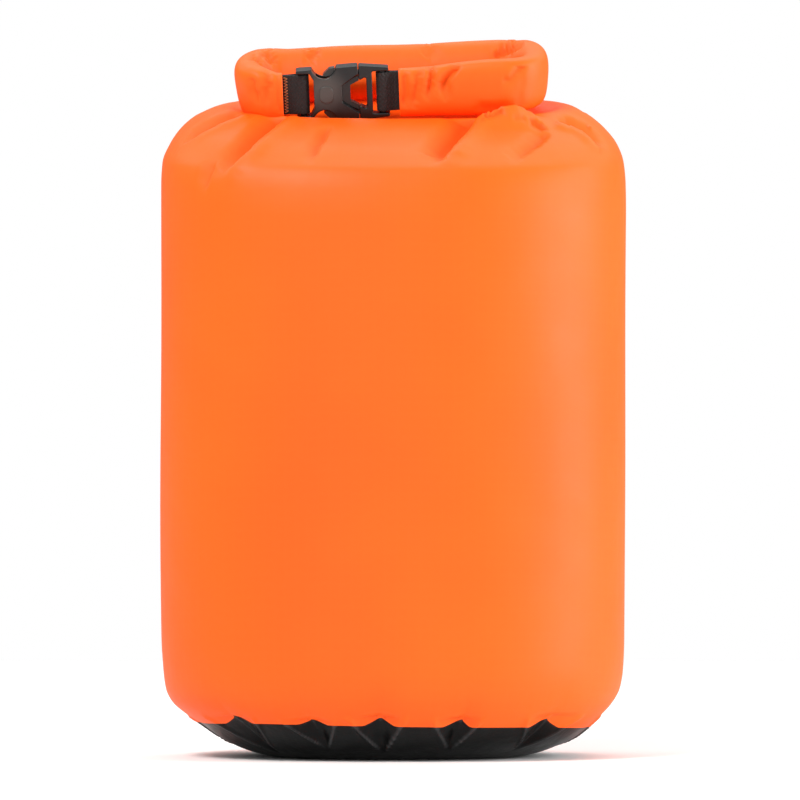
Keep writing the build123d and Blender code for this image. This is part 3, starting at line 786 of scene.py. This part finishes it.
def rollPath(run):  # middle line of the roll, its outward and forward directions, in x and y
    x, y, nx, ny = (np.zeros(len(run)) for _ in range(4))
    for n, at in enumerate(run):
        if at < rollStops[1]:
            a = at / bendRadius
            x[n], y[n] = leftX - bendRadius * math.sin(a), -bendRadius - bendRadius * math.cos(a)
            nx[n], ny[n] = -math.sin(a), -math.cos(a)
        elif at < rollStops[2]:
            x[n], y[n], nx[n], ny[n] = leftX + at - rollStops[1], 0, 0, 1
        elif at < rollStops[3]:
            a = (at - rollStops[2]) / bendRadius
            x[n], y[n] = rightX + bendRadius * math.sin(a), -bendRadius + bendRadius * math.cos(a)
            nx[n], ny[n] = math.sin(a), math.cos(a)
        else:
            x[n], y[n], nx[n], ny[n] = rightX - (at - rollStops[3]), frontY, 0, -1
    return x, y, nx, ny


pathX, pathY, pathNx, pathNy = rollPath(rollRun)
backness = smoothStep(pathY, -2 * bendRadius + 3, -2)
swell = smoothStep(pathY, -1.5 * bendRadius, -0.2 * bendRadius)
endGap = np.minimum(rollRun, rollStops[-1] - rollRun)
pinch = 1 - roll["endPinch"] * (1 - smoothStep(endGap, 0, 9))
turn = np.linspace(0, 2 * np.pi, roll["around"], endpoint=False)
inner = np.where(np.cos(turn) < 0, 1, 0)[None, :]
slopes = roll["squareness"] - (roll["squareness"] - roll["slope"]) * inner * swell[:, None]
out = np.sign(np.cos(turn)) * np.abs(np.cos(turn)) ** (2 / slopes)
up = np.sign(np.sin(turn)) * np.abs(np.sin(turn)) ** (2 / slopes)
half = roll["half"] * pinch[:, None] + inner * (roll["bulge"] * swell)[:, None]
high = roll["rise"] + (roll["backRise"] - roll["rise"]) * backness
wobble = 0.35 * np.sin(rollRun / 17 + 1) + 0.25 * np.sin(rollRun / 7.3) + 0.15 * np.sin(rollRun / 3.9 + 2)
offset = half * out + wobble[:, None] * (0.4 + 0.6 * np.sin(turn + rollRun[:, None] / 40))
flare = roll["leftFlare"] * smoothStep(-pathX, 55, 70) + roll["rightFlare"] * smoothStep(pathX, 56, 68)
offset = offset + flare[:, None] * up * np.where(out > 0, out, 0)
topRise = high - roll["armDrop"] * smoothStep(rollRun, rollStops[3], rollStops[4])
topRise = topRise - roll["leftDrop"] * (1 - smoothStep(rollRun, 0, 15))
height = np.where(up > 0, topRise[:, None], high[:, None]) * up
height = height + 0.3 * np.sin(rollRun / 11 + 0.5)[:, None] * np.sign(up)
corner = roll["cornerRise"] * smoothStep(np.abs(pathX - 2), 52, 68) * backness
height = height + np.where(up > 0, corner[:, None] * up, 0)


def endRows(row, direction):  # steps across a rolled end, as if its layers showed
    made = []
    for size, proud in roll["layers"]:
        x = pathX[row] + pathNx[row] * offset[row] * size + direction * proud
        y = pathY[row] + pathNy[row] * offset[row] * size
        made.append(inLoop(x, y, height[row] * size))
    return np.array(made)


rollX = pathX[:, None] + pathNx[:, None] * offset
rollY = pathY[:, None] + pathNy[:, None] * offset
rollSkin = inLoop(rollX, rollY, height)
rollNormals = gridNormals(rollSkin, True)
core = inLoop(pathX, pathY, 0 * pathX)[:, None]
if np.einsum("ijk,ijk->ij", rollNormals, rollSkin - core).mean() < 0:
    rollNormals = -rollNormals
ahead = rollSkin[..., 1] < -8
pushed = foldCloth(rollSkin, rollNormals, armFolds, ahead & (rollNormals[..., 1] < 0.2))
onTop = (rollNormals[..., 2] > 0.1) & (backness[:, None] > 0.35)
pushed += foldCloth(rollSkin, rollNormals, topFolds, onTop)
backFolds = []
for n in range(9):  # slack creases on the face behind
    x = rng.uniform(leftX - 8, rightX + 8)
    route = [(x, rng.uniform(336, 345)), (x + rng.uniform(-9, 9), rng.uniform(320, 328))]
    backFolds.append((route, rng.uniform(4, 8), 0.4, rng.uniform(0.7, 1.6), 0.5, (0.3, 0.4)))
pushed += foldCloth(rollSkin, rollNormals, backFolds, (rollSkin[..., 1] > 8) & (rollNormals[..., 1] > 0.3))
rollSkin = rollSkin + rollNormals * pushed[..., None]
# Fold depths that darken the roll's nylon as painted shade.
rollCreases = np.clip(-pushed / 2.8, 0, 0.9)
rollUv = np.stack([np.repeat(rollRun[:, None], roll["around"] + 1, 1),
        lengthsAlong(np.concatenate([rollSkin, rollSkin[:, :1]], 1), 1)], -1)


def rollPiece(name, first, last, closing, atStart):  # a length of the roll, with its closed end's rows
    parts = [rollSkin[first:last], closing]
    uvs = [rollUv[first:last], np.repeat(rollUv[last - 1:last], len(closing), 0)]
    depths = [rollCreases[first:last], np.zeros(closing.shape[:2])]
    cap = len(closing) + last - first - 1
    if atStart:
        parts = [closing[::-1], parts[0]]
        uvs = [np.repeat(rollUv[first:first + 1], len(closing), 0), uvs[0]]
        depths = depths[::-1]
        cap = 0
    return gridObject(name, np.concatenate(parts), coatedNylon, caps=[cap], uv=np.concatenate(uvs),
            crease=np.concatenate(depths))


rollLoop = rollPiece("rollLoop", 0, splitRow + 1, endRows(0, 1), True)
rollArm = rollPiece("rollArm", splitRow, len(rollRun), endRows(-1, -1), False)
print("roll made:", rollSkin.shape)


# Strip along a path of x and y in the loop's frame.
def ribbon(name, path, across, thickness, material, roundOff):
    path = np.array(path, float)
    along = unit(np.gradient(path, axis=0))
    side = np.stack([along[:, 1], -along[:, 0]], 1)
    flat = np.linspace(-1, 1, 18) * (across / 2 - roundOff)
    arc = np.linspace(0, np.pi, 9)[1:-1]
    z = np.concatenate([flat, across / 2 - roundOff + roundOff * np.sin(arc), flat[::-1],
            -(across / 2 - roundOff) - roundOff * np.sin(arc)])
    w = np.concatenate([np.full(18, 1.0), np.cos(arc), np.full(18, -1.0), -np.cos(arc)]) * thickness / 2
    x = path[:, :1] + side[:, :1] * w
    y = path[:, 1:] + side[:, 1:] * w
    points = inLoop(x, y, z[None])
    run = lengthsAlong(path, 0)
    uv = np.stack(np.broadcast_arrays(run[:, None], np.append(z, z[0])[None]), -1)
    middle = np.repeat(points.mean(1, keepdims=True), len(z), 1)
    ends = [points[:1] * 0.02 + middle[:1] * 0.98, points, points[-1:] * 0.02 + middle[-1:] * 0.98]
    uv = np.concatenate([uv[:1], uv, uv[-1:]])
    return gridObject(name, np.concatenate(ends), material, uv=uv)


def softened(points, times):  # rounds a path's corners and keeps its ends
    points = np.array(points, float)
    for _ in range(times):
        cut = [points[0]]
        for a, b in zip(points[:-1], points[1:]):
            cut += [a * 0.75 + b * 0.25, a * 0.25 + b * 0.75]
        points = np.array(cut + [points[-1]])
    return points


webbing = {"thickness": 1.15, "width": 19.7, "shown": 3.5, "layerGap": 0.62, "edge": 0.5, "wrap": 105}


# Doubled strap round a buckle's bar. sign is 1 where the bar is to the right.
def makeWebbing(name, node, rollEnd, sign):
    low, high = loopBox(node)
    around = (high[1] - low[1]) / 2
    barX = high[0] - around if sign > 0 else low[0] + around
    tailX = low[0] + 0.3 if sign > 0 else high[0] - 0.3
    flatX = rollEnd + sign * webbing["shown"]
    radius = around - webbing["thickness"] / 2
    turns = np.radians(np.linspace(webbing["wrap"], -webbing["wrap"], 25))
    wrapped = [(barX + sign * radius * math.cos(a), frontY - radius * math.sin(a)) for a in turns]
    flat = [(tailX + (flatX - tailX) * t, frontY - webbing["layerGap"]) for t in np.linspace(0, 1, 6)]
    back = [(x, frontY + webbing["layerGap"]) for x, _ in flat[::-1]]
    return ribbon(name, softened(flat + wrapped + back, 2), webbing["width"], webbing["thickness"],
            webbingCloth, webbing["edge"])


leftWebbing = makeWebbing("leftWebbing", "left_webbing", leftX, 1)
rightWebbing = makeWebbing("rightWebbing", "right_webbing", armX, -1)

tack = {"thread": 0.30, "rows": 12, "inset": 0.4}


def makeTack(name, node):  # zigzag of thread across the strap, sewn twice over
    low, high = loopBox(node)
    curve = bpy.data.curves.new(name, "CURVE")
    curve.dimensions = "3D"
    curve.bevel_depth = tack["thread"] * mm
    curve.bevel_resolution = 3
    for shift in (0.0, 0.5):
        zs = np.linspace(low[2] + tack["inset"], high[2] - tack["inset"], tack["rows"] * 2 + 1)
        xs = np.where(np.arange(len(zs)) % 2 == 0, low[0] + tack["inset"], high[0] - tack["inset"])
        xs = xs + shift * 0.5
        spot = inLoop(xs, np.full(len(zs), high[1] - 0.05), zs)
        spline = curve.splines.new("POLY")
        spline.points.add(len(zs) - 1)
        for point, at in zip(spline.points, spot):
            point.co = (*(at * mm), 1)
    curve.materials.append(threadFibre)
    made = bpy.data.objects.new(name, curve)
    bpy.context.scene.collection.objects.link(made)
    return made


leftTack = makeTack("leftBarTack", "left_bar_tack")
rightTack = makeTack("rightBarTack", "right_bar_tack")


strip = {"thickness": 0.8, "edge": 0.3}


def makeStripTurn(name, node):  # stiffener strip round the right bend
    low, high = loopBox(node)
    radius = high[0] - rightX - strip["thickness"] / 2
    path = [(rightX + radius * math.sin(a), -bendRadius + radius * math.cos(a))
            for a in np.linspace(0, np.pi, 40)]
    return ribbon(name, path, high[2] - low[2], strip["thickness"], stripPlastic, strip["edge"])


outerTurn = makeStripTurn("outerStripTurn", "outer_strip_bend")
innerTurn = makeStripTurn("innerStripTurn", "inner_strip_bend")


# Seam tapes, pressed on the inner face of the skin.
tape = {"width": 12.0, "inset": 0.7, "thickness": 0.4}


def insideSkin(surface, inset):
    facing = gridNormals(surface, True)
    if np.einsum("ijk,ijk->ij", facing, surface - [0, 0, 120]).mean() < 0:
        facing = -facing
    return surface - facing * inset


seamRows = takeRows(skin, split - tape["width"] / 2, split + tape["width"] / 2, np.linspace(0, 1, 14))
tapeOuter = insideSkin(seamRows, tape["inset"])
tapeInner = insideSkin(seamRows, tape["inset"] + tape["thickness"])
closed = np.concatenate([tapeOuter, tapeInner[::-1], tapeOuter[:1]])
baseTape = gridObject("baseSeamTape", closed, seamTapeFilm)

tapeTop = boxOf("back_seam_tape")[1][2]
tapeRows = np.flatnonzero((rows[:, 0] > 27) & (rows[:, 0] < tapeTop) & (rows[:, 3] > 70))
backStrip = np.roll(skin, 12, 1)[tapeRows][:, :25]
backNormals = gridNormals(backStrip, False)
if backNormals[..., 1].mean() < 0:
    backNormals = -backNormals
keepColumns = np.abs(backStrip[0, :, 0]) <= tape["width"] / 2 + 0.6
backStrip, backNormals = backStrip[:, keepColumns], backNormals[:, keepColumns]
face = backStrip - backNormals * tape["inset"]
under = backStrip - backNormals * (tape["inset"] + tape["thickness"])
backTape = gridObject("backSeamTape", np.concatenate([face, under[:, ::-1]], 1), seamTapeFilm)
print("webbing, stitching and tapes made")


# Finishes on the CAD parts that stay
finishes = {
    acetal: ("buckle_socket", "buckle_plug", "upper_prong", "lower_prong"),
    stripPlastic: ("outer_strip", "inner_strip", "outer_strip_end", "inner_strip_end"),
}
for material, nodes in finishes.items():
    for node in nodes:
        part = frame["nodes"][node]
        part.data.materials.clear()
        part.data.materials.append(material)


# What rides on what
def pointOf(x, y, z):
    return tuple(inLoop(x, y, z) * mm)


wallTurn = {"from": 300.0, "to": 321.0}  # mm heights between which the wall goes over from bag to loop
wallStart, wallEnd = (0, 0, wallTurn["from"] * mm), (0, 0, wallTurn["to"] * mm)
bendStart, bendEnd = pointOf(rightX, -2.0, 0.0), pointOf(rightX, frontY + 2, 0.0)
atNeck, atBend = ("bag", "carry_loop", wallStart, wallEnd), ("carry_loop", "plug_end", bendStart, bendEnd)
attached = (
    (sideWall, atNeck, "coated_nylon", ("side_wall",)),
    (basePanel, "bag", "base_cloth", ("base_panel",)),
    (baseTape, "bag", "seam_tape", ("base_seam_tape",)),
    (backTape, "bag", "seam_tape", ("back_seam_tape",)),
    (rollLoop, "carry_loop", "coated_nylon", ("rolled_mouth_back", "rolled_mouth_left")),
    (rollArm, atBend, "coated_nylon", ("rolled_mouth_bend", "rolled_mouth_right")),
    (outerTurn, atBend, "stiffener", ("outer_strip_bend",)),
    (innerTurn, atBend, "stiffener", ("inner_strip_bend",)),
    (leftWebbing, "carry_loop", "webbing", ("left_webbing",)),
    (leftTack, "carry_loop", "thread", ("left_bar_tack",)),
    (rightWebbing, "plug_end", "webbing", ("right_webbing",)),
    (rightTack, "plug_end", "thread", ("right_bar_tack",)),
)
for piece, held, slot, nodes in attached:  # parented to one body, or baked in place where it spans two
    if isinstance(held, str):
        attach(piece, held)
    else:
        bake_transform(piece)
    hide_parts(*nodes)

print("pieces attached")


# Studio: paper floor with nothing upright on it, soft lights, white surroundings
studio = {
    "paper": "#f4f4f3",
    "world": 0.34,  # light from all round
    "seenWorld": 1.0,  # how bright the room looks behind the bag
    "side": 4000,
    "frontEdge": 5000,
    "farEdge": 1200,  # mm behind the bag, where the floor is still lit to white
    "lights": [  # name, place and aim in metres, size in metres, watts
        ("topLeft", (-0.95, -1.1, 1.85), (0, 0, 0.24), (0.8, 0.8), 42),
        ("frontFill", (-0.2, -2.4, 0.9), (0, 0, 0.2), (1.0, 1.0), 6),
        ("rightStrip", (1.25, -0.35, 0.35), (0, 0, 0.2), (0.4, 1.4), 22),
        ("topBack", (0.1, 0.7, 1.5), (0, 0, 0.3), (1.4, 0.7), 9),
        ("floorLeft", (-1.5, 0.9, 1.6), (-0.7, 1.7, 0.0), (1.2, 1.2), 14),
        ("floorRight", (1.5, 0.9, 1.6), (0.7, 1.7, 0.0), (1.2, 1.2), 14),
    ],
}
paper, paperTree, paperShader = startMaterial("seamlessPaper", {"Roughness": 0.9})
fibre = addNode(paperTree, "TexNoise", {"Scale": 400.0, "Detail": 2.0,
        "Vector": addNode(paperTree, "TexCoord", {}).outputs["Object"]})
paperColour = addNode(paperTree, "Mix", {"Factor": fibre.outputs["Fac"], "A": "#f1f1f0",
        "B": studio["paper"]}, data_type="RGBA")
plugIn(paperTree, paperShader, {"Base Color": paperColour.outputs["Result"]})
corners = [[(x, y, 0) for x in (-studio["side"], studio["side"])]
        for y in (-studio["frontEdge"], 0, studio["farEdge"])]
corners = np.array(corners, float)
floor = gridObject("paperFloor", corners, paper, wrap=False)
world = bpy.data.worlds.new("whiteRoom")
world.use_nodes = True
room = world.node_tree.nodes["Background"]
room.inputs["Color"].default_value = toLinear("#ffffff")
seen = addNode(world.node_tree, "LightPath", {}).outputs["Is Camera Ray"]
strength = addNode(world.node_tree, "Math", {0: seen, 1: studio["seenWorld"] - studio["world"],
        2: studio["world"]}, operation="MULTIPLY_ADD")
plugIn(world.node_tree, room, {"Strength": strength.outputs[0]})
bpy.context.scene.world = world
for name, place, target, size, watts in studio["lights"]:
    lamp = bpy.data.lights.new(name, "AREA")
    lamp.shape = "RECTANGLE"
    lamp.size, lamp.size_y = size
    lamp.energy = watts
    lampObject = bpy.data.objects.new(name, lamp)
    lampObject.location = place
    lampObject.rotation_euler = (Vector(target) - Vector(place)).to_track_quat("-Z", "Y").to_euler()
    bpy.context.scene.collection.objects.link(lampObject)
bpy.context.scene.view_settings.view_transform = "Standard"
print("studio ready")
